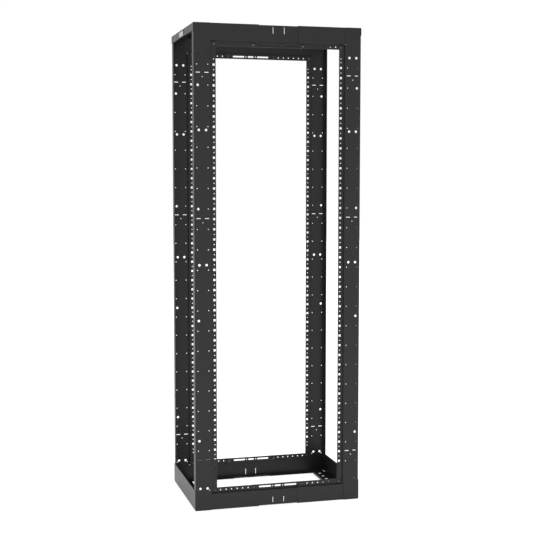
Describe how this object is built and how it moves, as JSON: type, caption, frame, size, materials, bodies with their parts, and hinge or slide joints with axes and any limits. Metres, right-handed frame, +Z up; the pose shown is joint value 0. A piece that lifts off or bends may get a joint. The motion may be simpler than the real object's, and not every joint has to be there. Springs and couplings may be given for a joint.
{
  "type": "four post open frame rack",
  "caption": "Open frame equipment rack of folded sheet steel: four perforated posts joined by front, rear and side rails at the top and bottom.",
  "frame": {"origin": "on the floor under the middle of the rack", "axes": "+Z up along the posts, front face towards -Y, +X to the right seen from the front"},
  "size_m": [0.7638, 0.516, 2.136],
  "materials": {
    "black_powder_coat": "fine satin powder coat"
  },
  "bodies": {
    "root": {"post_front_left": "black_powder_coat", "post_front_right": "black_powder_coat", "post_rear_left": "black_powder_coat", "post_rear_right": "black_powder_coat", "bottom_front_rail_left": "black_powder_coat", "bottom_front_rail_centre": "black_powder_coat", "bottom_front_rail_right": "black_powder_coat", "bottom_rear_rail_left": "black_powder_coat", "bottom_rear_rail_centre": "black_powder_coat", "bottom_rear_rail_right": "black_powder_coat", "top_front_rail_left": "black_powder_coat", "top_front_rail_centre": "black_powder_coat", "top_front_rail_right": "black_powder_coat", "top_rear_rail_left": "black_powder_coat", "top_rear_rail_centre": "black_powder_coat", "top_rear_rail_right": "black_powder_coat", "bottom_side_rail_left": "black_powder_coat", "bottom_side_rail_right": "black_powder_coat", "top_side_rail_left": "black_powder_coat", "top_side_rail_right": "black_powder_coat"}
  },
  "joints": []
}
